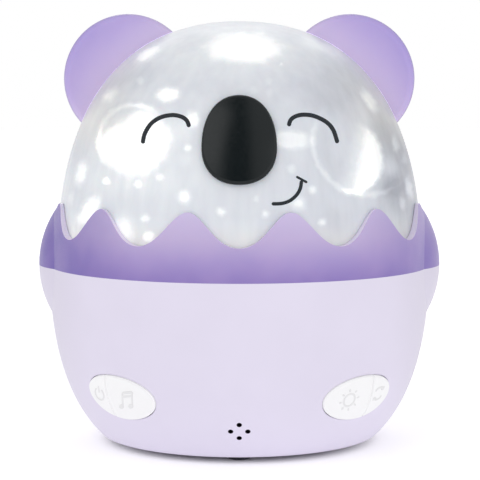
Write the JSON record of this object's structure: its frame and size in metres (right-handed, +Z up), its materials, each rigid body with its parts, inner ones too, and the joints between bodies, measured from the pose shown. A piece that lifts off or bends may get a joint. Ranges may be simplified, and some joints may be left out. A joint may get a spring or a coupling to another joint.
{
  "type": "musical night light projector",
  "caption": "Egg-shaped animal night light: frosted dome with ears and nose, wavy purple collar, lilac base with split oval keys, and a motor-driven star film inside.",
  "frame": {"origin": "centre of the footprint, on the table under the feet", "axes": "+Z up, the face towards -Y, the ears along X"},
  "size_m": [0.136, 0.1286, 0.144],
  "materials": {
    "lilac": "satin",
    "purple": "satin",
    "frosted": "frosted",
    "nose_black": "gloss",
    "key_white": "satin",
    "rubber": "matte",
    "white_part": "satin",
    "black_part": "satin",
    "steel": "satin",
    "board": "satin",
    "cell_wrap": "satin",
    "paper": "matte",
    "clear": "gloss",
    "film": "gloss"
  },
  "bodies": {
    "base": {"base_shell": "lilac", "base_plate": "lilac", "battery_door": "lilac", "plate_screws": "steel", "door_screws": "steel", "rubber_feet": "rubber", "battery_cells": "cell_wrap", "battery_contacts": "steel", "main_board": "board", "control_chip": "black_part", "capacitor": "black_part", "wire_sockets": "white_part", "speaker_frame": "black_part", "speaker_cone": "paper", "key_board_left": "board", "key_board_right": "board", "tact_switches": "black_part", "board_screws": "steel", "deck": "white_part", "deck_screws": "steel", "gear_motor": "steel", "motor_screws": "steel", "led_post": "white_part", "led_board": "board", "leds": "clear"},
    "head": {"dome": "frosted", "collar": "purple", "head_ring": "white_part", "ring_screws": "steel", "ear_left": "purple", "ear_right": "purple", "nose": "nose_black"},
    "film": {"turntable": "white_part", "film_dome": "film"},
    "drive": {"pinion": "white_part", "motor_shaft": "steel"},
    "power": {"power_key": "key_white", "power_plunger": "white_part"},
    "music": {"music_key": "key_white", "music_plunger": "white_part"},
    "light": {"light_key": "key_white", "light_plunger": "white_part"},
    "rotate": {"rotate_key": "key_white", "rotate_plunger": "white_part"}
  },
  "joints": [
    {"name": "head_lift", "type": "slide", "parent": "base", "child": "head", "axis": [0, 0, 1], "range_m": [0, 0.08]},
    {"name": "film_spin", "type": "hinge", "parent": "base", "child": "film", "pos_m": [0, 0, 0.0615], "axis": [0, 0, 1], "continuous": true},
    {"name": "pinion_spin", "type": "hinge", "parent": "base", "child": "drive", "pos_m": [0, 0.032, 0.0598], "axis": [0, 0, 1], "continuous": true},
    {"name": "power_press", "type": "slide", "parent": "base", "child": "power", "axis": [0.6122, 0.7105, 0.3471], "range_m": [0, 0.0006], "stiffness_N_per_m": 1500},
    {"name": "music_press", "type": "slide", "parent": "base", "child": "music", "axis": [0.6122, 0.7105, 0.3471], "range_m": [0, 0.0006], "stiffness_N_per_m": 1500},
    {"name": "light_press", "type": "slide", "parent": "base", "child": "light", "axis": [-0.6122, 0.7105, 0.3471], "range_m": [0, 0.0006], "stiffness_N_per_m": 1500},
    {"name": "rotate_press", "type": "slide", "parent": "base", "child": "rotate", "axis": [-0.6122, 0.7105, 0.3471], "range_m": [0, 0.0006], "stiffness_N_per_m": 1500}
  ],
  "couplings": [
    {"joint": "pinion_spin", "follows": "film_spin", "ratio": -4}
  ]
}
